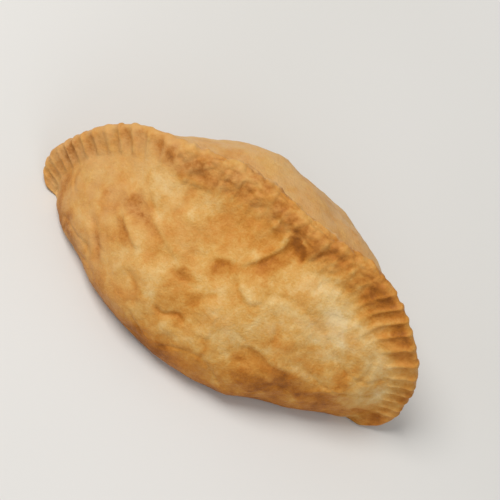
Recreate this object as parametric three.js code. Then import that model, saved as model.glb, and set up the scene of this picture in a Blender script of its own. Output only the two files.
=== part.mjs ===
// A baked half-moon pasty, crimped along the top, standing on its flat base.
// Millimetres, +Z up. X runs along the pasty from tail to tail, the broad face looks towards -Y,
// and the crimp tips back towards +Y. The origin is at the middle of the base.
//
// The shape is a fan of cross-sections. Each section starts on the base line and ends on the outer
// edge of the seam: the sections stand upright in the middle and lie down towards the two tails.
import * as THREE from "three";

// Seam: the outer edge of the crimp, an arch from tail to tail.
const SEAM_LEFT_X = -77;
const SEAM_RIGHT_X = 72;
const SEAM_HEIGHT = 56;
const TAIL_TIP_HEIGHT = 2.5;
// Roundness of the arch: 2 is an ellipse, more is squarer.
const LEFT_ARCH = { across: 2.45, up: 1.85 };
const RIGHT_ARCH = { across: 2.7, up: 3.0 };
// How far the seam wanders to either side on its way from tail to tail.
const SEAM_SWAY = 1.5;
const SWAY_TURNS = 3.8;
const SWAY_START = 0.54;
const SEAM_BOW = 3;
const BOW_AT = 0.65;
const BOW_LENGTH = 0.09;

// Base: the line that the sections start from, and how far the tails bend towards the broad face.
const BASE_LEFT_X = -65;
const BASE_RIGHT_X = 56;
const BASE_CROWDING = 0.5;
const TAIL_BEND = 4;

// Belly: half-widths at the middle of the pasty, on the near (-Y) and far (+Y) side.
const NEAR = { side: -1, halfWidth: 34.5, roundness: 0.15 };
const FAR = { side: 1, halfWidth: 46, roundness: 0.6 };
const LEFT_TAPER = 1.65;
const RIGHT_TAPER = 2.2;
const WIDEST_AT = 0.24;
const FOOT_SHARE = 0.78;
const ROOT_FILLET = 0.06;
const SPINE_LEAN = 8;
const SWELL_HEIGHT = 0.9;

// Crimp: the pressed border of the two layers of dough, thin and fluted towards the tails and
// folded into a thicker rope between them. Shares run along the arch.
const CRIMP_THICKNESS = 5;
const ROPE_THICKNESS = 8;
const TAIL_THICKNESS = 7.5;
const CRIMP_WIDTH = 10;
const CRIMP_WIDTH_AT_TAILS = 11;
const MOST_CRIMP_SHARE = 0.75;
const TAIL_ROUNDING = 0.035;
const TAIL_END_REACH = 0.6;
const LEFT_FAN_END = 0.3;
const RIGHT_FAN_START = 0.7;
const FAN_BLEND = 0.09;
const CRIMP_TILT = THREE.MathUtils.degToRad(42);
const CRIMP_BEND_LENGTH = 6;
const FLUTE_COUNT = 42;
// How much closer together the flutes are at the tails; 0 spaces them evenly.
const FLUTE_CROWDING = 0.14;
const MOST_FLUTE_SKEW = 0.9;
const FLUTE_DEPTH = 1.4;
const FLUTE_DEPTH_ON_ROPE = 0.6;
const FLUTE_DEPTH_AT_TIPS = 0.2;
const TIP_LENGTH = 0.04;
const FLUTE_SCALLOP = 0.7;
const FLUTE_REACH = 4;
// Less than 1 makes narrow ridges between broad valleys.
const VALLEY_POWER = 0.7;

// Fineness of the mesh.
const STEPS_PER_FLUTE = 4;
const BELLY_ROWS = 9;
const CRIMP_ROWS = 4;
const ARCH_SAMPLES = 2000;

const CRUST_COLOUR = 0xd9a45b;

const { lerp, clamp } = THREE.MathUtils;
const smooth = (t) => THREE.MathUtils.smoothstep(t, 0, 1);

// A point on the arch of the seam's outer edge: PI is the left tail, 0 the right one.
function archPoint(angle) {
  const across = Math.cos(angle);
  const rise = Math.max(Math.sin(angle), 0);
  const rightShare = smooth((1 + across) / 2);
  const acrossPower = 2 / lerp(LEFT_ARCH.across, RIGHT_ARCH.across, rightShare);
  const upPower = 2 / lerp(LEFT_ARCH.up, RIGHT_ARCH.up, rightShare);
  const middle = (SEAM_LEFT_X + SEAM_RIGHT_X) / 2;
  const half = (SEAM_RIGHT_X - SEAM_LEFT_X) / 2;
  return new THREE.Vector2(
    middle + half * Math.sign(across) * Math.abs(across) ** acrossPower,
    TAIL_TIP_HEIGHT + (SEAM_HEIGHT - TAIL_TIP_HEIGHT) * rise ** upPower,
  );
}

// Share of the arch's length at a measure that counts the flutes evenly from tail to tail.
function archShare(measure) {
  const t = measure - 0.5;
  return 0.5 + t * (1 + FLUTE_CROWDING) - 4 * FLUTE_CROWDING * t ** 3;
}

// 1 where the flutes are open, towards the tails, and 0 on the rope between them.
function fanShare(share) {
  const pastLeft = smooth((share - LEFT_FAN_END) / FAN_BLEND + 0.5);
  const beforeRight = smooth((RIGHT_FAN_START - share) / FAN_BLEND + 0.5);
  return 1 - pastLeft * beforeRight;
}

// Share of the full reach and thickness: it falls off over the last stretch, so that the tails
// end round.
function tailRounding(share) {
  const toTip = clamp(Math.min(share, 1 - share) / TAIL_ROUNDING, 0, 1);
  return lerp(TAIL_END_REACH, 1, Math.sqrt(1 - (1 - toTip) ** 2));
}

// The section at a measure along the arch, 0 at the left tail and 1 at the right one. It gets the
// point where it meets the seam's edge, the edge's direction there and the whole edge's length.
function sectionAt(measure, edge, direction, edgeLength) {
  const share = archShare(measure);
  const across = lerp(2 * share - 1, -Math.cos(Math.PI * share), BASE_CROWDING);
  const rise = Math.sqrt(Math.max(1 - across ** 2, 0));
  const baseX = (BASE_LEFT_X + BASE_RIGHT_X) / 2 + ((BASE_RIGHT_X - BASE_LEFT_X) / 2) * across;
  const fullReach = Math.hypot(edge.x - baseX, edge.y);
  const rounding = tailRounding(share);
  const reach = fullReach * rounding;
  const tilt = CRIMP_TILT * rise ** 0.8;
  const atTail = (1 - rise) ** 2;
  const fan = fanShare(share);
  const border = lerp(CRIMP_WIDTH, CRIMP_WIDTH_AT_TAILS, atTail);
  const crimpWidth = Math.min(border, MOST_CRIMP_SHARE * reach);
  const thickness = lerp(ROPE_THICKNESS, CRIMP_THICKNESS, fan);
  const sway = SEAM_SWAY * Math.sin(2 * Math.PI * (SWAY_TURNS * share + SWAY_START));
  const bow = SEAM_BOW * Math.exp(-(((share - BOW_AT) / BOW_LENGTH) ** 2));
  const out = new THREE.Vector2((edge.x - baseX) / fullReach, edge.y / fullReach);
  const along = out.dot(direction);
  const skew = clamp(along / Math.sqrt(1 - along ** 2), -MOST_FLUTE_SKEW, MOST_FLUTE_SKEW);
  return {
    measure,
    share,
    rise,
    tilt,
    fan,
    crimpWidth,
    half: (lerp(thickness, TAIL_THICKNESS, atTail) / 2) * rounding,
    lean: (SPINE_LEAN + sway + bow) * rise,
    base: new THREE.Vector2(baseX, -TAIL_BEND * (1 - rise)),
    out,
    // Drift of a flute that is square to the seam's edge, in measure per millimetre.
    skew: skew / edgeLength,
    rootReach: reach - crimpWidth * Math.cos(tilt),
  };
}

// Share of the belly's half-width at a share of the way from the base to the root of the crimp.
function bellyShare(up, roundness) {
  if (up < WIDEST_AT) {
    const toWidest = 1 - up / WIDEST_AT;
    return FOOT_SHARE + (1 - FOOT_SHARE) * Math.sqrt(1 - toWidest ** 2);
  }
  const past = (up - WIDEST_AT) / (1 - WIDEST_AT);
  const dome = lerp(Math.cos((Math.PI / 2) * past), Math.sqrt(1 - past ** 2), roundness);
  return dome * (1 - Math.exp(-(1 - past) / ROOT_FILLET));
}

// Slow swellings of the baked dough, in millimetres.
function swelling(share, up, side) {
  const fade = Math.sin(Math.PI * up) * Math.sin(Math.PI * share);
  const long = Math.sin(9.7 * share + 1.3 * side) * Math.sin(4.2 * up + 0.4);
  const short = 0.6 * Math.sin(23 * share - 3.4 * up + 0.9 * side);
  return SWELL_HEIGHT * fade * (long + short);
}

// Depth of the flutes: 0 on a ridge, 1 in the middle of a valley.
function valleyAt(section, fromRoot) {
  const turns = FLUTE_COUNT * (section.measure + section.skew * fromRoot);
  return Math.abs(Math.sin(Math.PI * turns)) ** VALLEY_POWER;
}

// A point of the skin. The row runs from 0 at the foot over 1 at the crimp's root to 2 at its edge.
function skinPoint(section, face, row) {
  const { share, rise, tilt, fan, crimpWidth, half, lean, base, out, rootReach } = section;
  const flutedWidth = crimpWidth - FLUTE_SCALLOP * fan * (valleyAt(section, crimpWidth) - 0.5);
  const up = Math.min(row, 1);
  const pastRoot = Math.max(row - 1, 0) * flutedWidth;
  const fromRoot = (up - 1) * rootReach + pastRoot;
  const roundOver = Math.sqrt(1 - clamp((pastRoot - flutedWidth + half) / half, 0, 1) ** 2);

  let width = half * roundOver;
  if (row < 1) {
    const taper = lerp(LEFT_TAPER, RIGHT_TAPER, smooth(share));
    const belly = (face.halfWidth - CRIMP_THICKNESS / 2) * rise ** taper;
    width += belly * bellyShare(up, face.roundness) + swelling(share, up, face.side);
  }
  const toTip = smooth(Math.min(share, 1 - share) / TIP_LENGTH);
  const depth = lerp(FLUTE_DEPTH_ON_ROPE, FLUTE_DEPTH, fan) * lerp(FLUTE_DEPTH_AT_TIPS, 1, toTip);
  const valley = valleyAt(section, fromRoot);
  width -= depth * (valley - 0.4) * smooth(1 + fromRoot / FLUTE_REACH) * roundOver ** 2.5;

  const turn = tilt * smooth(fromRoot / CRIMP_BEND_LENGTH + 0.5) * smooth(2 * up);
  const spine = base.y + lean * up ** 1.5;
  const radius =
    up * rootReach + pastRoot * Math.cos(tilt) - face.side * width * Math.sin(turn);
  return new THREE.Vector3(
    base.x + out.x * radius,
    spine + pastRoot * Math.sin(tilt) + face.side * width * Math.cos(turn),
    out.y * radius,
  );
}

// Sections spaced along the arch as the flutes are, with the same number to every flute.
function fanOfSections() {
  const edges = [archPoint(Math.PI)];
  const lengths = [0];
  for (let i = 1; i <= ARCH_SAMPLES; i++) {
    edges.push(archPoint(Math.PI * (1 - i / ARCH_SAMPLES)));
    lengths.push(lengths[i - 1] + edges[i].distanceTo(edges[i - 1]));
  }
  const edgeLength = lengths[ARCH_SAMPLES];
  const count = FLUTE_COUNT * STEPS_PER_FLUTE;
  const sections = [];
  let sample = 1;
  for (let i = 0; i <= count; i++) {
    const wanted = edgeLength * archShare(i / count);
    while (sample < ARCH_SAMPLES && lengths[sample] < wanted) sample++;
    const before = edges[sample - 1];
    const past = (wanted - lengths[sample - 1]) / (lengths[sample] - lengths[sample - 1]);
    const edge = before.clone().lerp(edges[sample], past);
    const direction = edges[sample].clone().sub(before).normalize();
    sections.push(sectionAt(i / count, edge, direction, edgeLength));
  }
  return sections;
}

// Rows round one section: up the near face, over the crimp's edge and down the far face.
function loopRows() {
  const rows = [];
  for (let i = 0; i <= BELLY_ROWS; i++) rows.push(i / BELLY_ROWS);
  for (let i = 1; i <= CRIMP_ROWS; i++) rows.push(1 + Math.sin(((Math.PI / 2) * i) / CRIMP_ROWS));
  const near = rows.map((row) => [NEAR, row]);
  const far = rows.slice(0, -1).reverse().map((row) => [FAR, row]);
  return near.concat(far);
}

function pastyGeometry() {
  const sections = fanOfSections();
  const rows = loopRows();
  const points = [];
  for (const section of sections) {
    for (const [face, row] of rows) points.push(skinPoint(section, face, row));
  }

  const ring = rows.length;
  const index = [];
  for (let i = 0; i + 1 < sections.length; i++) {
    for (let j = 0; j < ring; j++) {
      const a = i * ring + j;
      const b = i * ring + ((j + 1) % ring);
      index.push(a, a + ring, b, b, a + ring, b + ring);
    }
  }
  for (const end of [0, sections.length - 1]) {
    const first = end * ring;
    const centre = new THREE.Vector3();
    for (let j = 0; j < ring; j++) centre.add(points[first + j]);
    points.push(centre.divideScalar(ring));
    for (let j = 0; j < ring; j++) {
      const a = first + j;
      const b = first + ((j + 1) % ring);
      if (end === 0) index.push(points.length - 1, a, b);
      else index.push(points.length - 1, b, a);
    }
  }

  const geometry = new THREE.BufferGeometry().setFromPoints(points);
  geometry.setIndex(index);
  geometry.computeBoundingBox();
  const middle = geometry.boundingBox.getCenter(new THREE.Vector3());
  geometry.translate(-middle.x, -middle.y, 0);
  geometry.computeVertexNormals();
  return geometry;
}

function makePasty() {
  const crust = new THREE.MeshStandardMaterial({
    color: CRUST_COLOUR,
    roughness: 0.55,
    metalness: 0,
  });
  const mesh = new THREE.Mesh(pastyGeometry(), crust);
  mesh.name = "pasty";
  return mesh;
}

const part = new THREE.Group();
part.add(makePasty());

export default part;
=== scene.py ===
"""A baked half-moon pasty, crimped along the top, on a pale floor in soft studio light.

The crust is one fine mesh that stands for the CAD solid. It follows the same fan of cross-sections
and adds what the CAD leaves out: uneven flutes, the knobbly crest, folds, dents and blisters.
Shape is worked out in millimetres and placed in metres.
"""

import itertools
import math

import bpy
import numpy as np
from mathutils import Matrix, Vector


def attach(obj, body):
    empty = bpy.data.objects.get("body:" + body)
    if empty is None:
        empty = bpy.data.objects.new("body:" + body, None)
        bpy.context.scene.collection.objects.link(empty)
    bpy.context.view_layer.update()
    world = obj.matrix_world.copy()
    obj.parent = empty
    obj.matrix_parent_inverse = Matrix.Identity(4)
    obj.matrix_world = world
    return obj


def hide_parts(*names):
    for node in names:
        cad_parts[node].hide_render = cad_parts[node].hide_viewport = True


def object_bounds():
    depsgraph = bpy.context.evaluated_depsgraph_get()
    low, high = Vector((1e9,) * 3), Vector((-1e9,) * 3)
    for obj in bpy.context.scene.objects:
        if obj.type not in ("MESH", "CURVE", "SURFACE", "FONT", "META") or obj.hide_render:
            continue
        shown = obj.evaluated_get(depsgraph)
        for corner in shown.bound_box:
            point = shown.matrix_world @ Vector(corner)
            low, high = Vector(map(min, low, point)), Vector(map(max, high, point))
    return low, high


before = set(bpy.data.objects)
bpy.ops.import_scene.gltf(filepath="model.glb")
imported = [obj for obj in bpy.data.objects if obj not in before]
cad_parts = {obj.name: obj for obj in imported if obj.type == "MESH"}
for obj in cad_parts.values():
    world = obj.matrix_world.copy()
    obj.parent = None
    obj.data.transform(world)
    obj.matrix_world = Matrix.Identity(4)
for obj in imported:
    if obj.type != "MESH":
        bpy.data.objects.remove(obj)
CAD_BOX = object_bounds()

MM = 0.001

# Seam: the outer edge of the crimp, an arch from tail to tail.
SEAM_LEFT_X = -77.0
SEAM_RIGHT_X = 72.0
SEAM_HEIGHT = 56.0
TAIL_TIP_HEIGHT = 2.5
# Roundness of the arch across and up: 2 is an ellipse, more is squarer.
LEFT_ARCH = (2.45, 1.85)
RIGHT_ARCH = (2.7, 3.0)
ARCH_SAMPLES = 4001
# The seam sways to both sides on its way, and bows further back around one share of the arch.
SEAM_SWAY = 1.5
SWAY_TURNS = 3.8
SWAY_START = 0.54
SEAM_BOW = 3.0
BOW_AT = 0.65
BOW_LENGTH = 0.09

# Base line and belly.
BASE_LEFT_X = -65.0
BASE_RIGHT_X = 56.0
BASE_CROWDING = 0.5
TAIL_BEND = 4.0
NEAR_SIDE = {"side": -1.0, "half_width": 34.5, "roundness": 0.15}
FAR_SIDE = {"side": 1.0, "half_width": 46.0, "roundness": 0.6}
LEFT_TAPER = 1.65
RIGHT_TAPER = 2.2
WIDEST_AT = 0.24
FOOT_SHARE = 0.78
ROOT_FILLET = 0.06
SPINE_LEAN = 8.0
LEAN_POWER = 1.5
SWELL_HEIGHT = 0.9

# Crimp: open flutes towards the tails, a thicker rope between them.
CRIMP_THICKNESS = 5.0
ROPE_THICKNESS = 8.0
TAIL_THICKNESS = 7.5
CRIMP_WIDTH = 10.0
CRIMP_WIDTH_AT_TAILS = 11.0
MOST_CRIMP_SHARE = 0.75
CRIMP_TILT = math.radians(42)
TILT_POWER = 0.8
CRIMP_BEND_LENGTH = 6.0
TAIL_ROUNDING = 0.035
TAIL_END_REACH = 0.6
LEFT_FAN_END = 0.30
RIGHT_FAN_START = 0.70
FAN_BLEND = 0.09

# Flutes: finger marks across the crimp, closer together at the tails. Shares run along the arch.
FLUTE_COUNT = 42
FLUTE_CROWDING = 0.14
FLUTE_DEPTH = 1.2
FLUTE_DEPTH_ON_ROPE = 0.4
FLUTE_DEPTH_AT_TIPS = 0.2
TIP_LENGTH = 0.1
# How much of a flute's depth its ridges stand above the plain dough.
RIDGE_SHARE = 0.4
RIDGE_ROUNDING = 0.12
VALLEY_POWER = 0.38
EDGE_FADE_POWER = 2.5
FLUTE_SCALLOP = 0.6
SCALLOP_POWER = 2.5
MOST_SKEW = 0.9
SKEW_STEP = 0.002
# How far the flutes run down the belly. They run furthest at the shoulder, where the rope opens
# into the right fan, and twist there.
FLUTE_REACH = 1.5
FLUTE_REACH_AT_SHOULDER = 7.0
FLUTE_FADE_PAST_ROOT = 2.5
SHOULDER_SHARE = 0.72
SHOULDER_LENGTH = 0.055
SHOULDER_TWIST = 0.4
# How unlike each other the flutes are. Drift and lopsidedness are in flutes, and slant is in
# flutes to a millimetre.
FLUTE_DRIFT = 0.3
FLUTE_DRIFT_GRAIN = 3.0
FLUTE_SLANT = 0.02
FLUTE_SLANT_GRAIN = 7.0
FLUTE_LOPSIDEDNESS = 0.1
FLUTE_STRENGTHS = (0.6, 1.25)
SPARE_FLUTES = 4

# Fineness of the mesh.
SECTIONS = 480
NEAR_BELLY_ROWS = 100
NEAR_CRIMP_ROWS = 28
FAR_BELLY_ROWS = 46
FAR_CRIMP_ROWS = 20
BASE_COLUMNS = 8
# The base counts as this far below the crimp's root.
FAR_FROM_ROOT = 50.0

# The camera's place round the pasty, in metres, and its turn about its own axis. The lens follows
# from how large the pasty is in the picture.
VIEW_ELEVATION = math.radians(59)
VIEW_ROLL = math.radians(37.4)
VIEW_DISTANCE = 0.70
PIXELS_PER_METRE = 2985
IMAGE_SIDE = 500
SENSOR = 36.0

# The floor, and the point that the lights face, in metres.
FLOOR_HALF_SIDE = 3.0
LIGHTS_AIM = (0, 0, 0.02)

# Places on the broad face are (along, climb) in millimetres: along the pasty, and up the face,
# measured square to the line on which the camera looks down, from this point in the fan's frame.
FACE_ORIGIN = (-1.2, 5.2, 28.0)

# Folds of the dough. Each drops to a valley on the left of its path, behind a raised lip.
FOLDS = (
    {
        "path": ((4, 14), (7.8, 10.5), (6, 5), (3.3, 0), (-0.8, -6)),
        "drop": 0.9,
        "width": 6.5,
        "lip": 0.45,
    },
    {"path": ((-1.2, -4.6), (-5, -6), (-9.5, -8.5)), "drop": 0.5, "width": 5.5, "lip": 0.35},
    {"path": ((14, -9), (9, -12.6), (4, -10.6), (0, -6.5)), "drop": 0.6, "width": 3.4, "lip": 0.4},
    {
        "path": ((37, -22.5), (27, -24.5), (20, -23.8), (13, -27)),
        "drop": 0.4,
        "width": 5.0,
        "lip": 0.15,
    },
    {"path": ((-16, -16.5), (-27, -12.5), (-36, -8.5)), "drop": 0.45, "width": 5.0, "lip": 0.25},
    {"path": ((-30, -21.5), (-36, -18.5), (-42, -14.5)), "drop": 0.6, "width": 4.0, "lip": 0.4},
    {"path": ((72, -16), (64, -17.5), (58, -20)), "drop": 0.4, "width": 2.4, "lip": 0.3},
)

# Creases: narrow grooves, or with a negative depth narrow wrinkles that stand up.
CREASES = (
    {"path": ((-17, -31.5), (-11.5, -33), (-6.5, -30), (-3, -32.5)), "depth": 0.9, "width": 1.3},
    {"path": ((1, -16), (-3, -20), (-7, -26)), "depth": 0.5, "width": 2.6},
    {"path": ((3, -22), (4, -26), (5.5, -31)), "depth": -0.5, "width": 0.9},
    {"path": ((2, -33), (5, -31.5), (8, -35), (6, -38)), "depth": 0.35, "width": 1.4},
    {"path": ((26, -4), (33, 0), (41, 4)), "depth": 0.3, "width": 1.8},
    {"path": ((42, -27), (47, -21), (54, -16)), "depth": -0.5, "width": 1.1},
    {"path": ((53, 0), (55.5, -7), (54, -15)), "depth": 0.6, "width": 1.8},
    {"path": ((-14, -42), (-9, -43.5), (-5, -42)), "depth": -0.5, "width": 1.0},
    {"path": ((-29, 8), (-27, 1), (-28, -6)), "depth": 0.5, "width": 2.0},
    {"path": ((-52, -20), (-44, -26), (-38, -34)), "depth": 0.7, "width": 1.8},
    {"path": ((-30, -27), (-24, -31), (-20, -38)), "depth": 0.6, "width": 1.8},
    {"path": ((17, -9), (22, -14), (24, -20)), "depth": 0.4, "width": 1.6},
)

# The profile of a fold across its path, in millimetres, and how much painted highlight its lip
# gets.
FOLD_EDGE_SOFTNESS = 1.3
FOLD_FALL_POWER = 1.5
LIP_OFFSET = 1.1
LIP_WIDTH = 1.2
LIP_HIGHLIGHT = 0.4
# Half the width of a crease's groove, as a share of the crease's width.
GROOVE_SHARE = 0.7
# The share of a path at each end over which it fades out.
PATH_END_FADE = 0.2

# Dents and swellings: place, half-length, half-height, turn in degrees and rise in millimetres.
HOLLOWS = (
    ((12.0, 10.0), 5.0, 2.8, -25, -1.2),
    ((2.5, 9.0), 3.0, 4.0, 0, -0.9),
    ((-5.0, -9.5), 5.0, 3.0, 25, -0.3),
    ((-39.0, -9.5), 5.5, 3.6, -20, -0.8),
    ((-47.5, -14.0), 4.5, 3.8, 0, -0.7),
    ((-12.5, -18.5), 5.0, 2.0, 8, -0.9),
    ((39.0, -26.5), 5.0, 3.0, 10, -0.8),
    ((50.0, -13.0), 3.5, 6.0, -10, -0.9),
    ((28.0, 4.0), 14.0, 6.5, -8, 1.2),
    ((6.0, -20.0), 7.0, 5.0, 0, 0.9),
    ((-8.0, -36.0), 4.0, 2.8, 0, 0.9),
    ((0.0, -36.5), 3.5, 2.8, 0, 0.8),
    ((-38.0, 3.0), 8.0, 5.0, -20, 0.8),
    ((-24.0, -24.0), 8.0, 5.0, -15, 0.9),
)

# Patches darker, or with a negative amount paler: place, half-sizes, turn and amount. Most are
# browning; some are painted shade beside folds and along their shadow lines, and the pale ones on
# the right of the broad face are partly painted highlight.
BAKE_AND_PAINTED_LIGHT_PATCHES = (
    ((13.4, 9.8), 3.2, 1.9, -15, 0.42),
    ((9.2, 11.6), 3.4, 1.2, -40, 0.28),
    # Painted shade in the valley beside the first fold.
    ((7.8, 4.5), 3.6, 7.0, -20, 0.19),
    ((4.0, -2.0), 2.6, 3.6, -35, 0.05),
    ((3.0, 7.8), 2.8, 4.4, 0, 0.16),
    # Painted shade under the second fold's edge.
    ((-4.6, -8.2), 4.8, 3.2, 28, 0.15),
    ((-12.5, -18.0), 5.0, 1.8, 8, 0.26),
    ((-4.0, -21.0), 2.2, 5.0, -35, 0.07),
    ((-13.0, -35.5), 4.0, 3.0, 0, 0.14),
    ((-8.0, -43.5), 12.0, 2.4, 0, 0.22),
    ((27.0, -27.0), 13.0, 3.2, 4, 0.20),
    ((28.0, -32.6), 10.0, 3.2, 12, 0.29),
    ((37.5, -26.0), 6.5, 3.6, 0, 0.18),
    ((45.0, -24.5), 7.0, 3.4, 20, 0.16),
    ((50.5, -14.0), 2.6, 5.0, -8, 0.12),
    ((35.0, -16.0), 7.0, 3.0, -5, 0.08),
    ((20.0, -19.0), 6.0, 3.0, 10, 0.08),
    ((-8.0, -2.0), 9.0, 14.0, 0, 0.12),
    ((-10.0, -27.0), 8.0, 9.0, 0, 0.12),
    ((44.0, 14.0), 6.5, 5.0, -10, 0.27),
    ((57.0, 10.0), 4.5, 4.0, 0, 0.17),
    ((67.0, -20.0), 6.0, 2.6, 0, 0.12),
    ((59.0, 6.5), 5.5, 4.5, -40, 0.10),
    ((-38.5, -10.2), 4.4, 4.0, -10, 0.26),
    # Painted shadow line along a fold.
    ((-30.0, -13.5), 7.0, 1.6, -20, 0.12),
    ((-47.0, -13.5), 4.6, 4.4, 0, 0.27),
    # Painted shadow line along a fold.
    ((-37.2, -19.0), 7.0, 2.0, -30, 0.16),
    ((-42.0, 10.0), 5.0, 2.6, -30, 0.20),
    ((-29.0, 11.0), 6.0, 2.6, 0, 0.16),
    ((-17.0, 14.5), 4.0, 2.2, 0, 0.07),
    ((-13.5, 18.0), 3.0, 3.0, 0, -0.12),
    ((4.0, 17.5), 6.0, 3.0, 0, 0.14),
    ((21.0, 15.5), 3.0, 3.0, 0, -0.10),
    ((15.0, 17.5), 12.0, 3.6, -4, 0.09),
    ((32.0, 11.5), 6.0, 3.0, 0, -0.04),
    # These three, paler on the right of the face: partly less baked dough, partly painted
    # highlight.
    ((30.0, 4.5), 11.0, 5.5, -5, -0.20),
    ((44.0, -1.0), 12.0, 5.5, 0, -0.21),
    ((35.5, -5.5), 9.0, 6.0, -30, -0.12),
    ((7.0, -20.0), 7.0, 4.5, 0, -0.11),
    ((-38.0, 4.0), 8.0, 4.5, -20, -0.19),
    ((-36.0, -7.0), 26.0, 20.0, 0, 0.07),
    ((-56.0, -3.0), 7.0, 5.0, 0, 0.05),
    ((60.0, -9.0), 8.0, 9.0, 0, -0.10),
    ((67.0, -11.0), 6.0, 6.0, 0, -0.22),
    ((-25.0, -25.0), 11.0, 5.0, -10, -0.06),
    ((-3.5, -36.0), 6.0, 2.5, 0, -0.10),
)
# The patches' edges: where they start to fade and how softly, as shares of the ellipse, and how far
# they wander in millimetres. All of them fade out over the last rows before the seam's edge.
PATCH_EDGE = 1.3
PATCH_SOFTNESS = 0.6
PATCH_WANDER = 2.0
PATCH_FADE_AT_SEAM = 0.3

# Layers of noise: strength, how many millimetres across the lumps are, and the seed. The strengths
# of lumps are millimetres, and those of browning are shares of the bake.
LUMPS = ((1.2, 27, 21), (0.85, 12, 22), (0.38, 5.5, 23))
FAR_LUMPS = ((0.8, 17, 28),)
FINE_LUMPS = ((0.12, 2.6, 26), (0.05, 1.3, 27))
BROWN_CLOUDS = ((0.10, 21, 41), (0.07, 8.5, 42), (0.06, 3.6, 43))
FAR_BROWN_CLOUDS = ((0.16, 12, 48),)

# Knobs of the rope: strength, how many millimetres across, and the seed. The mean is taken off, so
# that they neither swell nor shrink the rope.
KNOBS = ((1.5, 6.5, 24), (0.8, 3.3, 25))
KNOB_MEAN = 0.3
KNOB_HEIGHT = 1.2
KNOBS_ON_FAN = 0.25

# Where the unevenness gives way: over the lowest rows, over a share of the arch at each tip, on the
# crimp, which it reaches at this row, and over some millimetres under the rope on the far side. The
# losses are shares of it.
FOOT_FADE = 0.1
LUMP_FOOT_FADE = 0.12
SMOOTH_TIP = 0.02
CRIMP_START = 0.9
CRIMP_BLEND = 0.15
LUMPS_LOST_ON_CRIMP = 0.8
UNDER_ROPE_WIDTH = 3.0
UNDER_ROPE_LOSS = 0.9

# Wrinkles: long, thin grooves. The depths are in millimetres, on the far and near side.
WRINKLE_STRETCH = (0.55, 1.0, 1.0)
WRINKLE_SLANT = 0.25
WRINKLE_THINNESS = 0.07
WRINKLE_FADE = 1.6
WRINKLE_DEPTHS = (0.15, 0.45)

# Blotches: darker and paler islands. Strength, how many millimetres across, seed and softness of
# the edge.
BLOTCHES = ((0.085, 11, 54, 0.16), (0.05, 5, 55, 0.25))
BLOTCH_WANDER = 3.0

# Bake, from 0 for pale dough to 1 for dark brown, with painted shade and painted highlight mixed
# in: that of the plain dough on the far and near side, and what each place adds.
# The far side's plain dough is set darker than the near side's as painted shade, since the far side
# faces the key light more.
PLAIN_BAKE_AND_FAR_SHADE = (0.50, 0.44)
# Darker towards the foot: partly browning, partly painted shade along the lower edge.
FOOT_BAKE_AND_SHADE = 0.48
FOOT_DARKENING_HEIGHT = 25.0
FOOT_DARKENING_WANDER = 5.0
FOOT_DARKENING_FADE_AT_TIPS = 0.1
# Flute valleys darker and ridges paler: partly egg wash pooled in the valleys, partly painted shade
# in them and painted highlight on the ridges.
FLUTE_BAKE_AND_SHADE = 0.12
# Painted shade in the folds' valleys and the creases' grooves, and painted highlight on the folds'
# lips.
FOLD_SHADE_AND_HIGHLIGHT = 0.28
# On the crimp it goes from the left tail's value to the right one's. It sets in so many millimetres
# below the crimp's root and is full so many further up, along an edge that wanders.
ROPE_BAKE = (0.13, 0.22)
ROPE_BAKE_BELOW = 3.0
ROPE_BAKE_RUN = 9.0
FAN_BAKE = (0.12, 0.22)
FAN_BAKE_BELOW = 5.0
FAN_BAKE_RUN = 14.0
CRIMP_BAKE_WANDER = 3.0
# Painted highlight on the rope's knobs and painted shade in the creases between them.
KNOB_HIGHLIGHT_AND_SHADE = 0.11
SPECK_BAKE = 0.08

# Toasted tan, a duller colour over the bake's: on the crimp from the left tail to the right one, on
# the far side from its foot up, and on the left of the near face. Starts and blends are in rows on
# the crimp and the far side, and in shares of the arch on the left.
TAN_ON_CRIMP = (0.8, 0.05)
TAN_CRIMP_START = 0.95
TAN_CRIMP_BLEND = 0.2
TAN_CRIMP_FALL = 1.3
TAN_ON_FAR = (0.3, 1.0)
TAN_FAR_BLEND = 0.6
TAN_ON_LEFT = 0.7
TAN_LEFT_END = 0.5
TAN_LEFT_BLEND = 0.35


def smooth(t):
    t = np.clip(t, 0.0, 1.0)
    return t * t * (3 - 2 * t)


def lerp(a, b, t):
    return a + (b - a) * t


# ---------------------------------------------------------------- noise

NOISE_TABLE = 256
# Brings the noise to about -1 to 1.
NOISE_GAIN = 1.6


def gradient_noise(points, grain, seed):
    """Smooth noise of about -1 to 1 whose lumps are `grain` millimetres across."""
    rng = np.random.default_rng(seed)
    table = rng.permutation(NOISE_TABLE)
    slopes = rng.normal(size=(NOISE_TABLE, 3))
    slopes /= np.linalg.norm(slopes, axis=1)[:, None]
    scaled = points / grain
    cell = np.floor(scaled).astype(int)
    local = scaled - cell
    fade = local**3 * (local * (local * 6 - 15) + 10)
    total = np.zeros(points.shape[:-1])
    for corner in itertools.product((0, 1), repeat=3):
        at = (cell + corner) % NOISE_TABLE
        pick = table[at[..., 0]]
        pick = table[(pick + at[..., 1]) % NOISE_TABLE]
        pick = table[(pick + at[..., 2]) % NOISE_TABLE]
        weight = np.prod(np.where(corner, fade, 1 - fade), axis=-1)
        total += weight * ((local - corner) * slopes[pick]).sum(-1)
    return NOISE_GAIN * total


def layered(points, layers):
    """The sum of layers of noise, each given as its strength, grain and seed."""
    return sum(strength * gradient_noise(points, grain, seed) for strength, grain, seed in layers)


def drifts(points, grain, seeds):
    """One noise for each seed, side by side, to move places by."""
    return np.stack([gradient_noise(points, grain, seed) for seed in seeds], axis=-1)


def line_noise(t, grain, seed):
    """Noise along one axis."""
    flat = np.stack([t, 0 * t + 0.37, 0 * t + 0.61], axis=-1)
    return gradient_noise(flat, grain, seed)


# ---------------------------------------------------------------- the fan of sections


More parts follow.
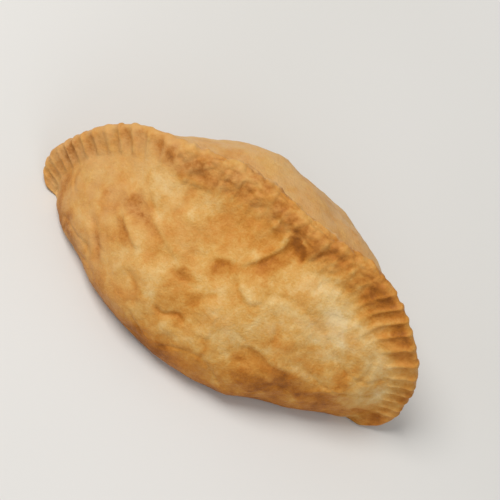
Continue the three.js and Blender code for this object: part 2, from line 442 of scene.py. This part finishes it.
def arch_point(angle):
    """X and Z of the seam's outer edge: pi is the left tail, 0 the right one."""
    across = np.cos(angle)
    rise = np.maximum(np.sin(angle), 0)
    right = smooth((1 + across) / 2)
    across_power = 2 / lerp(LEFT_ARCH[0], RIGHT_ARCH[0], right)
    up_power = 2 / lerp(LEFT_ARCH[1], RIGHT_ARCH[1], right)
    middle = (SEAM_LEFT_X + SEAM_RIGHT_X) / 2
    half = (SEAM_RIGHT_X - SEAM_LEFT_X) / 2
    x = middle + half * np.sign(across) * np.abs(across) ** across_power
    z = TAIL_TIP_HEIGHT + (SEAM_HEIGHT - TAIL_TIP_HEIGHT) * rise**up_power
    return x, z


def arch_by_length(share):
    """The seam's edge at shares of the arch's length."""
    x, z = arch_point(np.linspace(math.pi, 0, ARCH_SAMPLES))
    length = np.concatenate([[0], np.cumsum(np.hypot(np.diff(x), np.diff(z)))])
    wanted = share * length[-1]
    return np.interp(wanted, length, x), np.interp(wanted, length, z)


def arch_share(measure):
    """Share of the arch's length at an even count of flutes, which crowd together at the tails."""
    t = measure - 0.5
    return 0.5 + t * (1 + FLUTE_CROWDING) - 4 * FLUTE_CROWDING * t**3


def flute_skew(share, out_x, out_z):
    """How far a flute that is square to the seam's edge drifts, in shares of the arch to a mm."""
    after = np.minimum(share + SKEW_STEP, 1)
    before = np.maximum(share - SKEW_STEP, 0)
    after_x, after_z = arch_by_length(after)
    before_x, before_z = arch_by_length(before)
    length = np.hypot(after_x - before_x, after_z - before_z)
    along = (out_x * (after_x - before_x) + out_z * (after_z - before_z)) / length
    per_share = length / (after - before)
    square = np.clip(along / np.sqrt(1 - along**2), -MOST_SKEW, MOST_SKEW)
    at_shoulder = np.exp(-(((share - SHOULDER_SHARE) / (2 * SHOULDER_LENGTH)) ** 2))
    return (square - SHOULDER_TWIST * at_shoulder) / per_share


def fan_share(share):
    """1 where the flutes are open, towards the tails, and 0 on the rope between them."""
    past_left = smooth((share - LEFT_FAN_END) / FAN_BLEND + 0.5)
    before_right = smooth((RIGHT_FAN_START - share) / FAN_BLEND + 0.5)
    return 1 - past_left * before_right


def tail_rounding(share):
    """Share of the full reach and thickness: it falls off at the tips, so the tails end round."""
    to_tip = np.clip(np.minimum(share, 1 - share) / TAIL_ROUNDING, 0, 1)
    return lerp(TAIL_END_REACH, 1, np.sqrt(1 - (1 - to_tip) ** 2))


def sections_at(share):
    """What the sections at shares of the arch are made from.

    Each starts on the base line at base_x, base_y and points along out_x, out_z. It has the crimp's
    root at "root" along that line, and a flute there drifts by "skew".
    """
    edge_x, edge_z = arch_by_length(share)
    across = lerp(2 * share - 1, -np.cos(math.pi * share), BASE_CROWDING)
    rise = np.sqrt(np.clip(1 - across**2, 0, 1))
    base_x = (BASE_LEFT_X + BASE_RIGHT_X) / 2 + (BASE_RIGHT_X - BASE_LEFT_X) / 2 * across
    full_reach = np.hypot(edge_x - base_x, edge_z)
    out_x = (edge_x - base_x) / full_reach
    out_z = edge_z / full_reach
    rounding = tail_rounding(share)
    reach = full_reach * rounding
    tilt = CRIMP_TILT * rise**TILT_POWER
    at_tail = (1 - rise) ** 2
    width = lerp(CRIMP_WIDTH, CRIMP_WIDTH_AT_TAILS, at_tail)
    width = np.minimum(width, MOST_CRIMP_SHARE * reach)
    thickness = lerp(ROPE_THICKNESS, CRIMP_THICKNESS, fan_share(share))
    sway = SEAM_SWAY * np.sin(2 * math.pi * (SWAY_TURNS * share + SWAY_START))
    bow = SEAM_BOW * np.exp(-(((share - BOW_AT) / BOW_LENGTH) ** 2))
    return {
        "share": share,
        "rise": rise,
        "tilt": tilt,
        "width": width,
        "half_thickness": lerp(thickness, TAIL_THICKNESS, at_tail) / 2 * rounding,
        "lean": (SPINE_LEAN + sway + bow) * rise,
        "base_x": base_x,
        "base_y": -TAIL_BEND * (1 - rise),
        "out_x": out_x,
        "out_z": out_z,
        "skew": flute_skew(share, out_x, out_z),
        "root": reach - width * np.cos(tilt),
    }


def belly_share(up, roundness):
    """Share of the belly's half-width at a share of the way from the foot to the crimp's root."""
    to_widest = np.clip(1 - up / WIDEST_AT, 0, 1)
    low = FOOT_SHARE + (1 - FOOT_SHARE) * np.sqrt(1 - to_widest**2)
    past = np.clip((up - WIDEST_AT) / (1 - WIDEST_AT), 0, 1)
    dome = lerp(np.cos(math.pi / 2 * past), np.sqrt(1 - past**2), roundness)
    return np.where(up < WIDEST_AT, low, dome * (1 - np.exp(-(1 - past) / ROOT_FILLET)))


def swelling(share, up, side):
    """Slow swellings of the dough, in millimetres, the same as the CAD's."""
    fade = np.sin(math.pi * up) * np.sin(math.pi * share)
    long = np.sin(9.7 * share + 1.3 * side) * np.sin(4.2 * up + 0.4)
    short = 0.6 * np.sin(23 * share - 3.4 * up + 0.9 * side)
    return SWELL_HEIGHT * fade * (long + short)


def flutes(measure, from_root):
    """How deep the finger marks are pressed in, 0 on a ridge to about 1 in a valley."""
    count = measure * FLUTE_COUNT
    drift = FLUTE_DRIFT * line_noise(count, FLUTE_DRIFT_GRAIN, 11)
    slant = FLUTE_SLANT * from_root * line_noise(count, FLUTE_SLANT_GRAIN, 12)
    turn = count + drift + slant
    turn = turn + FLUTE_LOPSIDEDNESS * np.sin(2 * math.pi * turn)
    rng = np.random.default_rng(13)
    strength = rng.uniform(*FLUTE_STRENGTHS, FLUTE_COUNT + 2 * SPARE_FLUTES)
    wave = (np.sin(math.pi * turn) ** 2 + RIDGE_ROUNDING) ** VALLEY_POWER
    ridge = RIDGE_ROUNDING**VALLEY_POWER
    valley = (wave - ridge) / ((1 + RIDGE_ROUNDING) ** VALLEY_POWER - ridge)
    return valley * strength[np.floor(turn).astype(int) + SPARE_FLUTES]


def skin(measure, face, row):
    """Points of one face, its share of valley, and how far past the crimp's root each point is.

    Rows run 0 foot, 1 crimp's root, 2 seam's edge.
    """
    share = arch_share(measure)
    s = sections_at(share)
    side = face["side"]
    half = s["half_thickness"]
    fan = fan_share(share)
    up = np.minimum(row, 1)
    valley_at_edge = flutes(measure + s["skew"] * s["width"], s["width"])
    scallop = np.minimum(valley_at_edge, 1) ** SCALLOP_POWER
    width = s["width"] - FLUTE_SCALLOP * fan * (scallop - 0.5)
    past_root = np.maximum(row - 1, 0) * width
    from_root = (up - 1) * s["root"] + past_root
    valley = flutes(measure + s["skew"] * from_root, from_root)
    round_over = np.sqrt(1 - np.clip((past_root - width + half) / half, 0, 1) ** 2)

    taper = lerp(LEFT_TAPER, RIGHT_TAPER, smooth(share))
    belly = (face["half_width"] - CRIMP_THICKNESS / 2) * s["rise"] ** taper
    thick = belly * belly_share(up, face["roundness"]) + swelling(share, up, side)
    thick = half * round_over + np.where(row < 1, thick, 0)
    at_shoulder = np.exp(-(((share - SHOULDER_SHARE) / SHOULDER_LENGTH) ** 2))
    below_root = lerp(FLUTE_REACH, FLUTE_REACH_AT_SHOULDER, at_shoulder)
    fade_length = below_root + FLUTE_FADE_PAST_ROOT
    pressed = smooth((from_root + below_root) / fade_length) * round_over**EDGE_FADE_POWER
    to_tip = np.minimum(share, 1 - share)
    depth = lerp(FLUTE_DEPTH_ON_ROPE, FLUTE_DEPTH, fan)
    depth *= lerp(FLUTE_DEPTH_AT_TIPS, 1, smooth(to_tip / TIP_LENGTH))
    thick -= depth * (valley - RIDGE_SHARE) * pressed

    turn = s["tilt"] * smooth(from_root / CRIMP_BEND_LENGTH + 0.5) * smooth(2 * up)
    spine = s["base_y"] + s["lean"] * up**LEAN_POWER
    radius = up * s["root"] + past_root * np.cos(s["tilt"]) - side * thick * np.sin(turn)
    x = s["base_x"] + s["out_x"] * radius
    y = spine + past_root * np.sin(s["tilt"]) + side * thick * np.cos(turn)
    z = s["out_z"] * radius
    return np.stack([x, y, z], axis=-1), valley * pressed, from_root


def rows_up(belly_rows, crimp_rows):
    """Rows from the foot to the seam's edge, closer together towards the edge."""
    belly = np.linspace(0, 1, belly_rows + 1)
    crimp = 1 + np.sin(math.pi / 2 * np.linspace(0, 1, crimp_rows + 1))
    return np.concatenate([belly, crimp[1:]])


def crust_grid():
    """The whole skin as a grid, sections by ring, with what each point is part of."""
    measure = np.linspace(0, 1, SECTIONS + 1)[:, None]
    near_rows = rows_up(NEAR_BELLY_ROWS, NEAR_CRIMP_ROWS)[None, :] + 0 * measure
    far_rows = rows_up(FAR_BELLY_ROWS, FAR_CRIMP_ROWS)[::-1][None, 1:] + 0 * measure
    near, near_valley, near_root = skin(measure, NEAR_SIDE, near_rows)
    far, far_valley, far_root = skin(measure, FAR_SIDE, far_rows)
    steps = np.linspace(0, 1, BASE_COLUMNS + 2)[1:-1]
    base = lerp(far[:, -1:, :], near[:, :1, :], steps[None, :, None])
    zeros = np.zeros(base.shape[:2])
    grid = np.concatenate([near, far, base], axis=1)
    shift = (grid.reshape(-1, 3).min(0) + grid.reshape(-1, 3).max(0)) / 2 * (1, 1, 0)
    row = np.concatenate([near_rows, far_rows, zeros], axis=1)
    return {
        "points": grid - shift,
        "shift": shift,
        "row": row,
        "share": arch_share(measure) + 0 * row,
        "from_root": np.concatenate([near_root, far_root, zeros - FAR_FROM_ROOT], axis=1),
        "valley": np.concatenate([near_valley, far_valley, zeros], axis=1),
        "near": np.concatenate([0 * near_rows + 1, 0 * far_rows, zeros], axis=1),
    }


def grid_normals(grid):
    """Unit normals of a grid whose second axis closes on itself."""
    along = np.gradient(grid, axis=0)
    around = np.roll(grid, -1, axis=1) - np.roll(grid, 1, axis=1)
    normal = np.cross(along, around)
    return normal / np.maximum(np.linalg.norm(normal, axis=-1), 1e-9)[..., None]


# ---------------------------------------------------------------- what the baking did, with painted shade and highlight


def face_places(skin_grid):
    """Each point's place on the broad face: along the pasty, and up the face."""
    x, y, z = np.moveaxis(skin_grid["points"] - FACE_ORIGIN + skin_grid["shift"], -1, 0)
    return np.stack([x, y * math.sin(VIEW_ELEVATION) + z * math.cos(VIEW_ELEVATION)], axis=-1)


def curve_through(points, steps=8):
    """A Catmull-Rom curve through the points."""
    p = np.array(points, dtype=float)
    p = np.vstack([2 * p[0] - p[1], p, 2 * p[-1] - p[-2]])
    t = np.linspace(0, 1, steps, endpoint=False)[:, None]
    spans = []
    for a, b, c, d in zip(p, p[1:], p[2:], p[3:]):
        square = 2 * a - 5 * b + 4 * c - d
        cube = 3 * b - a - 3 * c + d
        spans.append(0.5 * (2 * b + (c - a) * t + square * t**2 + cube * t**3))
    return np.vstack([*spans, p[-2:-1]])


def near_path(places, path):
    """Distance to a path, more than 0 on its left, and a share that fades out at its ends."""
    line = curve_through(path)
    nearest = np.full(places.shape[:-1], np.inf)
    signed = np.zeros_like(nearest)
    part = np.zeros_like(nearest)
    for i, (a, b) in enumerate(zip(line, line[1:])):
        step = b - a
        t = np.clip((places - a) @ step / (step @ step), 0, 1)
        off = places - a - t[..., None] * step
        distance = np.hypot(off[..., 0], off[..., 1])
        left = np.sign(step[0] * off[..., 1] - step[1] * off[..., 0])
        closer = distance < nearest
        nearest = np.where(closer, distance, nearest)
        signed = np.where(closer, left * distance, signed)
        part = np.where(closer, (i + t) / (len(line) - 1), part)
    return signed, smooth(part / PATH_END_FADE) * smooth((1 - part) / PATH_END_FADE)


def in_ellipse(places, centre, half_length, half_height, turn):
    """Distance from the centre, as a share of the distance to the ellipse's edge."""
    angle = math.radians(turn)
    x = places[..., 0] - centre[0]
    y = places[..., 1] - centre[1]
    along = (x * math.cos(angle) + y * math.sin(angle)) / half_length
    across = (y * math.cos(angle) - x * math.sin(angle)) / half_height
    return np.hypot(along, across)


def folded(places):
    """Rise of the folds, creases and hollows, and a mask of painted light: painted shade up to 1 in
    a valley or groove, painted highlight below 0 on a lip.
    """
    rise = np.zeros(places.shape[:-1])
    fold_shade_and_highlight = np.zeros_like(rise)
    lips = np.zeros_like(rise)
    for fold in FOLDS:
        signed, fade = near_path(places, fold["path"])
        width = fold["width"]
        over = smooth(signed / FOLD_EDGE_SOFTNESS + 0.5)
        valley = np.exp(-((np.maximum(signed, 0) / width) ** FOLD_FALL_POWER)) * over * fade
        lip = np.exp(-(((signed + LIP_OFFSET) / LIP_WIDTH) ** 2)) * fade
        rise += fold["lip"] * lip - fold["drop"] * valley
        # Painted shade in the fold's valley, and the lip that takes a painted highlight.
        fold_shade_and_highlight = np.maximum(fold_shade_and_highlight, valley * min(fold["drop"], 1))
        lips = np.maximum(lips, lip * fold["lip"])
    for crease in CREASES:
        signed, fade = near_path(places, crease["path"])
        groove = np.exp(-((signed / (GROOVE_SHARE * crease["width"])) ** 2)) * fade
        rise -= crease["depth"] * groove
        # Painted shade in the crease's groove.
        fold_shade_and_highlight = np.maximum(fold_shade_and_highlight, groove * max(crease["depth"], 0))
    for centre, half_length, half_height, turn, height in HOLLOWS:
        rise += height * np.exp(-(in_ellipse(places, centre, half_length, half_height, turn) ** 2))
    return rise, fold_shade_and_highlight - LIP_HIGHLIGHT * lips


def wrinkles(points):
    """Long, thin grooves that wander over the dough, 0 to 1 deep."""
    drawn_out = points * WRINKLE_STRETCH + WRINKLE_SLANT * points[..., 2:3] * (1, 0, 0)
    grooves = np.exp(-((gradient_noise(drawn_out, 13, 31) / WRINKLE_THINNESS) ** 2))
    return grooves * smooth(0.5 + WRINKLE_FADE * gradient_noise(points, 19, 32))


def knobs(points):
    """The lumps of the rope, more than 0 on a knob and less than 0 in the creases between them."""
    total = np.zeros(points.shape[:-1])
    for strength, grain, seed in KNOBS:
        total += strength * (np.abs(gradient_noise(points, grain, seed)) - KNOB_MEAN)
    return total


def uneven(g, rise):
    """Displacement of the baked dough along its normal, in millimetres."""
    points, row = g["points"], g["row"]
    fan = fan_share(g["share"])
    crimp = smooth((row - CRIMP_START) / CRIMP_BLEND)
    belly = smooth(row / LUMP_FOOT_FADE) * (1 - LUMPS_LOST_ON_CRIMP * crimp)
    off_foot = smooth(row / FOOT_FADE)
    far = 1 - g["near"]
    lumps = layered(points, LUMPS) + far * layered(points, FAR_LUMPS)
    lumps -= lerp(*WRINKLE_DEPTHS, g["near"]) * wrinkles(points)
    crest = KNOB_HEIGHT * knobs(points) * lerp(1, KNOBS_ON_FAN, fan)
    fine = layered(points, FINE_LUMPS)
    raised = belly * lumps + off_foot * fine + crimp * crest + g["near"] * off_foot * rise
    off_tip = smooth(np.minimum(g["share"], 1 - g["share"]) / SMOOTH_TIP)
    under_rope = far * np.exp(-((g["from_root"] / UNDER_ROPE_WIDTH) ** 2))
    return off_tip * (1 - UNDER_ROPE_LOSS * under_rope) * raised


def blotches(points):
    """Darker and paler islands with crisp, wandering edges."""
    drifted = points + BLOTCH_WANDER * drifts(points, 6, (51, 52, 53))
    total = np.zeros(points.shape[:-1])
    for strength, grain, seed, softness in BLOTCHES:
        total += strength * (smooth(gradient_noise(drifted, grain, seed) / softness + 0.5) - 0.5)
    return total


def browning_and_painted_light(g, places, fold_shade_and_highlight):
    """How far each point is baked, with painted shade and painted highlight added: 0 is pale dough,
    1 is dark brown.
    """
    points, row, valley = g["points"], g["row"], g["valley"]
    fan = fan_share(g["share"])
    past_root = g["from_root"] + CRIMP_BAKE_WANDER * gradient_noise(points, 9, 47)
    on_rope = (1 - fan) * smooth((past_root + ROPE_BAKE_BELOW) / ROPE_BAKE_RUN)
    on_fan = fan * smooth((past_root + FAN_BAKE_BELOW) / FAN_BAKE_RUN)
    off_tip = smooth(np.minimum(g["share"], 1 - g["share"]) / FOOT_DARKENING_FADE_AT_TIPS)
    # The plain dough, darker on the far side as painted shade.
    bake_and_painted_light = lerp(*PLAIN_BAKE_AND_FAR_SHADE, g["near"]) + layered(points, BROWN_CLOUDS) + blotches(points)
    bake_and_painted_light += (1 - g["near"]) * layered(points, FAR_BROWN_CLOUDS)
    # Darker towards the foot: partly browning, partly painted shade.
    height = points[..., 2] + FOOT_DARKENING_WANDER * gradient_noise(points, 9, 44)
    bake_and_painted_light += FOOT_BAKE_AND_SHADE * smooth(1 - height / FOOT_DARKENING_HEIGHT) * off_tip
    # Specks of browning, and painted highlight on the knobs with painted shade between them.
    knobbly = SPECK_BAKE * gradient_noise(points, 1.5, 56) - KNOB_HIGHLIGHT_AND_SHADE * knobs(points)
    bake_and_painted_light += on_rope * (lerp(*ROPE_BAKE, g["share"]) + knobbly)
    bake_and_painted_light += on_fan * lerp(*FAN_BAKE, g["share"])
    # Flutes: egg wash in the valleys, with painted shade there and painted highlight on the ridges.
    bake_and_painted_light += FLUTE_BAKE_AND_SHADE * (valley - 0.5)
    warped = places + PATCH_WANDER * drifts(points, 5, (45, 46))
    on_face = g["near"] * smooth((2 - row) / PATCH_FADE_AT_SEAM)
    # Patches of browning, painted shade and painted highlight.
    for centre, half_length, half_height, turn, amount in BAKE_AND_PAINTED_LIGHT_PATCHES:
        inside = in_ellipse(warped, centre, half_length, half_height, turn)
        bake_and_painted_light += on_face * amount * smooth((PATCH_EDGE - inside) / PATCH_SOFTNESS)
    # Adds the painted shade of the valleys and grooves and the painted highlight of the lips.
    return np.clip(bake_and_painted_light + on_face * FOLD_SHADE_AND_HIGHLIGHT * fold_shade_and_highlight, 0, 1)


def tanned(g):
    """How far each point is toasted tan, 0 to 1."""
    crimp = smooth((g["row"] - TAN_CRIMP_START) / TAN_CRIMP_BLEND)
    on_crimp = crimp * lerp(*TAN_ON_CRIMP, smooth(TAN_CRIMP_FALL * g["share"]))
    on_far = (1 - g["near"]) * lerp(*TAN_ON_FAR, smooth(g["row"] / TAN_FAR_BLEND))
    on_left = g["near"] * TAN_ON_LEFT * smooth((TAN_LEFT_END - g["share"]) / TAN_LEFT_BLEND)
    return np.maximum(np.maximum(on_crimp, on_far), on_left)


# ---------------------------------------------------------------- the crust's mesh


def add_mask(mesh, name, values):
    layer = mesh.attributes.new(name, "FLOAT", "POINT")
    layer.data.foreach_set("value", np.asarray(values, dtype=np.float32).ravel())


def grid_faces(count, ring):
    """Faces of a skin of `count` rings, closed by one face at each end."""
    start = np.arange(count - 1)[:, None] * ring
    first = start + np.arange(ring)
    after = start + (np.arange(ring) + 1) % ring
    quads = np.stack([first, first + ring, after + ring, after], axis=-1).reshape(-1, 4)
    ends = [list(range(ring)), list(range((count - 1) * ring, count * ring))[::-1]]
    return quads.tolist() + ends


def crust_mesh():
    """The displaced skin, placed where the CAD solid is, with its masks for the finish."""
    g = crust_grid()
    places = face_places(g)
    rise, fold_shade_and_highlight = folded(places)
    moved = uneven(g, rise) * (g["row"] > 0)
    points = g["points"] + grid_normals(g["points"]) * moved[..., None]
    points[..., 2] = np.maximum(points[..., 2], 0)
    cad_middle = (Vector(CAD_BOX[0]) + Vector(CAD_BOX[1])) / 2
    placed = points.reshape(-1, 3) * MM + (cad_middle.x, cad_middle.y, CAD_BOX[0][2])

    mesh = bpy.data.meshes.new("pasty_crust")
    mesh.from_pydata(placed.tolist(), [], grid_faces(*points.shape[:2]))
    mesh.polygons.foreach_set("use_smooth", [True] * len(mesh.polygons))
    add_mask(mesh, "bake_and_painted_light", browning_and_painted_light(g, places, fold_shade_and_highlight))
    add_mask(mesh, "tan", tanned(g))
    mesh.update()
    return mesh


# ---------------------------------------------------------------- finishes


class Finish:
    """A principled material, with a short way to add and join nodes."""

    def __init__(self, name):
        self.material = bpy.data.materials.new(name)
        self.material.use_nodes = True
        self.tree = self.material.node_tree
        self.shader = self.tree.nodes["Principled BSDF"]

    def node(self, kind, inputs=None, **settings):
        made = self.tree.nodes.new(kind)
        for key, value in settings.items():
            setattr(made, key, value)
        for key, value in (inputs or {}).items():
            self.feed(made.inputs[key], value)
        return made

    def feed(self, socket, value):
        if isinstance(value, bpy.types.NodeSocket):
            self.tree.links.new(value, socket)
        else:
            socket.default_value = value

    def noise(self, scale, detail=2.0, rough=0.5, distortion=0.0):
        place = self.node("ShaderNodeTexCoord").outputs["Object"]
        inputs = {
            "Vector": place,
            "Scale": scale,
            "Detail": detail,
            "Roughness": rough,
            "Distortion": distortion,
        }
        return self.node("ShaderNodeTexNoise", inputs).outputs["Fac"]

    def span(self, value, low, high, to_low=0.0, to_high=1.0):
        inputs = {
            "Value": value,
            "From Min": low,
            "From Max": high,
            "To Min": to_low,
            "To Max": to_high,
        }
        made = self.node("ShaderNodeMapRange", inputs, interpolation_type="SMOOTHSTEP")
        return made.outputs["Result"]

    def math(self, operation, a, b):
        made = self.node("ShaderNodeMath", {0: a, 1: b}, operation=operation)
        return made.outputs[0]

    def blend(self, share, a, b):
        made = self.node("ShaderNodeMix", data_type="RGBA")
        self.feed(made.inputs[0], share)
        self.feed(made.inputs[6], a)
        self.feed(made.inputs[7], b)
        return made.outputs[2]

    def ramp(self, share, stops):
        made = self.node("ShaderNodeValToRGB", {"Fac": share})
        elements = made.color_ramp.elements
        while len(elements) < len(stops):
            elements.new(0.5)
        for element, (at, colour) in zip(elements, stops):
            element.position = at
            element.color = colour
        return made.outputs["Color"]

    def mask(self, name):
        return self.node("ShaderNodeAttribute", attribute_name=name).outputs["Fac"]


def srgb(red, green, blue):
    """A colour given as 0 to 255 screen values, in linear light."""
    linear = []
    for channel in (red, green, blue):
        c = channel / 255
        linear.append(c / 12.92 if c <= 0.04045 else ((c + 0.055) / 1.055) ** 2.4)
    return (*linear, 1.0)


BAKE_COLOURS = (
    (0.00, srgb(230, 201, 148)),
    (0.20, srgb(222, 184, 119)),
    (0.40, srgb(211, 160, 84)),
    (0.60, srgb(199, 135, 54)),
    (0.80, srgb(178, 109, 29)),
    (1.00, srgb(146, 84, 17)),
)
TOASTED_TAN = srgb(211, 167, 110)
RUSSET = srgb(214, 140, 66)

# Grain of the browning: the noise's scale, detail and roughness, the span of it that counts, and
# the bake that this takes off or adds.
BAKE_GRAIN = (
    (170, 5, 0.65, 0.35, 0.65, -0.07, 0.07),
    (480, 4, 0.60, 0.30, 0.70, -0.06, 0.06),
    (1500, 3, 0.60, 0.30, 0.70, -0.04, 0.05),
)


def crust_finish():
    f = Finish("crust")
    # The mask holds browning together with painted shade and painted highlight; the ramp turns it
    # all into colour.
    bake_and_painted_light = f.mask("bake_and_painted_light")
    for scale, detail, rough, low, high, least, most in BAKE_GRAIN:
        bake_and_painted_light = f.math("ADD", bake_and_painted_light, f.span(f.noise(scale, detail, rough), low, high, least, most))
    colour = f.ramp(bake_and_painted_light, BAKE_COLOURS)
    russet = f.span(f.noise(95, 4, 0.6, 0.6), 0.45, 0.68, 0.0, 0.2)
    colour = f.blend(russet, colour, RUSSET)
    tan = f.math("MULTIPLY", f.mask("tan"), f.span(f.noise(150, 3), 0.35, 0.65, 0.35, 0.85))
    tan = f.math("MULTIPLY", tan, f.span(bake_and_painted_light, 0.65, 0.95, 1.0, 0.3))
    colour = f.blend(tan, colour, TOASTED_TAN)
    f.feed(f.shader.inputs["Base Color"], colour)

    f.feed(f.shader.inputs["Roughness"], f.span(f.noise(200, 3), 0.3, 0.7, 0.42, 0.6))
    f.shader.inputs["Subsurface Weight"].default_value = 0.05
    f.shader.inputs["Subsurface Radius"].default_value = (1.0, 0.55, 0.25)
    f.shader.inputs["Subsurface Scale"].default_value = 0.002
    f.shader.inputs["Specular IOR Level"].default_value = 0.2

    grain = f.math("ADD", f.noise(1500, 4, 0.6), f.math("MULTIPLY", f.noise(420, 5, 0.6), 1.5))
    bump = f.node("ShaderNodeBump", {"Strength": 0.6, "Distance": 0.0005, "Height": grain})
    f.feed(f.shader.inputs["Normal"], bump.outputs["Normal"])
    return f.material


def floor_finish():
    f = Finish("floor_paper")
    tone = f.span(f.noise(4, 2), 0.3, 0.7, 0.0, 1.0)
    f.feed(f.shader.inputs["Base Color"], f.blend(tone, srgb(214, 213, 210), srgb(219, 218, 216)))
    f.shader.inputs["Roughness"].default_value = 0.8
    return f.material


# ---------------------------------------------------------------- the scene


def link(name, data):
    made = bpy.data.objects.new(name, data)
    bpy.context.scene.collection.objects.link(made)
    return made


def make_pasty():
    piece = link("pasty_crust", crust_mesh())
    piece.data.materials.append(crust_finish())
    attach(piece, "root")
    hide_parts("pasty")


def make_floor():
    level = CAD_BOX[0][2]
    ways = ((-1, -1), (1, -1), (1, 1), (-1, 1))
    corners = [(x * FLOOR_HALF_SIDE, y * FLOOR_HALF_SIDE, level) for x, y in ways]
    mesh = bpy.data.meshes.new("floor")
    mesh.from_pydata(corners, [], [(0, 1, 2, 3)])
    floor = link("floor", mesh)
    floor.data.materials.append(floor_finish())


def make_camera():
    """The camera looks over the broad face at the pasty's middle, turned about its own axis."""
    centre = (Vector(CAD_BOX[0]) + Vector(CAD_BOX[1])) / 2
    back = Vector((0, -math.cos(VIEW_ELEVATION), math.sin(VIEW_ELEVATION)))
    right = Vector((1, 0, 0))
    up = back.cross(right)
    rolled_right = right * math.cos(VIEW_ROLL) + up * math.sin(VIEW_ROLL)
    rolled_up = up * math.cos(VIEW_ROLL) - right * math.sin(VIEW_ROLL)
    turn = Matrix((rolled_right, rolled_up, back)).transposed().to_4x4()
    data = bpy.data.cameras.new("camera")
    data.sensor_width = SENSOR
    data.lens = PIXELS_PER_METRE * VIEW_DISTANCE / IMAGE_SIDE * SENSOR
    camera = link("camera", data)
    camera.matrix_world = Matrix.Translation(centre + back * VIEW_DISTANCE) @ turn
    bpy.context.scene.camera = camera


def area_light(name, place, size, power, colour):
    data = bpy.data.lights.new(name, "AREA")
    data.shape = "DISK"
    data.size = size
    data.energy = power
    data.color = colour
    lamp = link(name, data)
    aim = Vector(LIGHTS_AIM) - Vector(place)
    turn = aim.to_track_quat("-Z", "Y").to_matrix().to_4x4()
    lamp.matrix_world = Matrix.Translation(place) @ turn


def make_lights():
    area_light("key", (-0.56, -0.04, 1.12), size=0.7, power=11.4, colour=(1.0, 0.98, 0.95))
    area_light("fill", (0.7, -0.9, 0.8), size=0.9, power=2.5, colour=(0.95, 0.97, 1.0))
    world = bpy.data.worlds.new("studio")
    world.use_nodes = True
    backdrop = world.node_tree.nodes["Background"]
    backdrop.inputs["Color"].default_value = (1.0, 0.99, 0.97, 1.0)
    backdrop.inputs["Strength"].default_value = 0.42
    bpy.context.scene.world = world
    bpy.context.scene.view_settings.view_transform = "Standard"


make_camera()
make_pasty()
make_floor()
make_lights()
